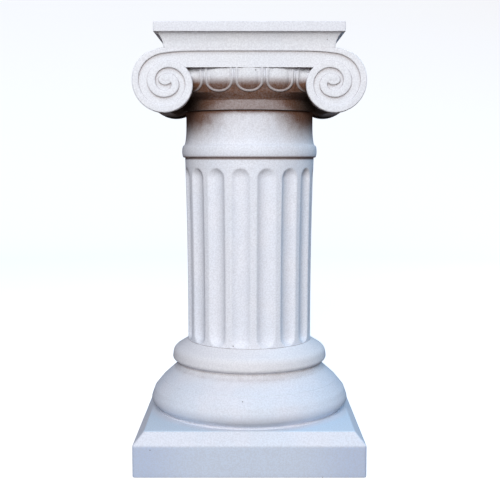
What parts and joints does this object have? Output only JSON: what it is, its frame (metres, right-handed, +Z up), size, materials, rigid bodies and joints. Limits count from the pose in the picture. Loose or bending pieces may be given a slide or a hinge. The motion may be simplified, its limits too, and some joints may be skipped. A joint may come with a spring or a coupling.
{
  "type": "ionic column pedestal",
  "caption": "Short fluted column with an Ionic capital of paired scrolls, egg-and-dart, square abacus, round base mouldings and a square plinth.",
  "frame": {"origin": "middle of the plinth's underside, on the floor", "axes": "+Z up the column; the front, with two scrolls and the egg-and-dart between them, faces -Y; +X to the right of someone who stands in front of it"},
  "size_m": [0.389, 0.389, 0.75],
  "materials": {
    "base_stone": "matte white cast stone or plaster with a fine grain",
    "shaft_stone": "matte white cast stone or plaster with a fine grain",
    "capital_stone": "matte white cast stone or plaster with a fine grain"
  },
  "bodies": {
    "root": {"base": "base_stone", "shaft": "shaft_stone", "capital": "capital_stone"}
  },
  "joints": []
}
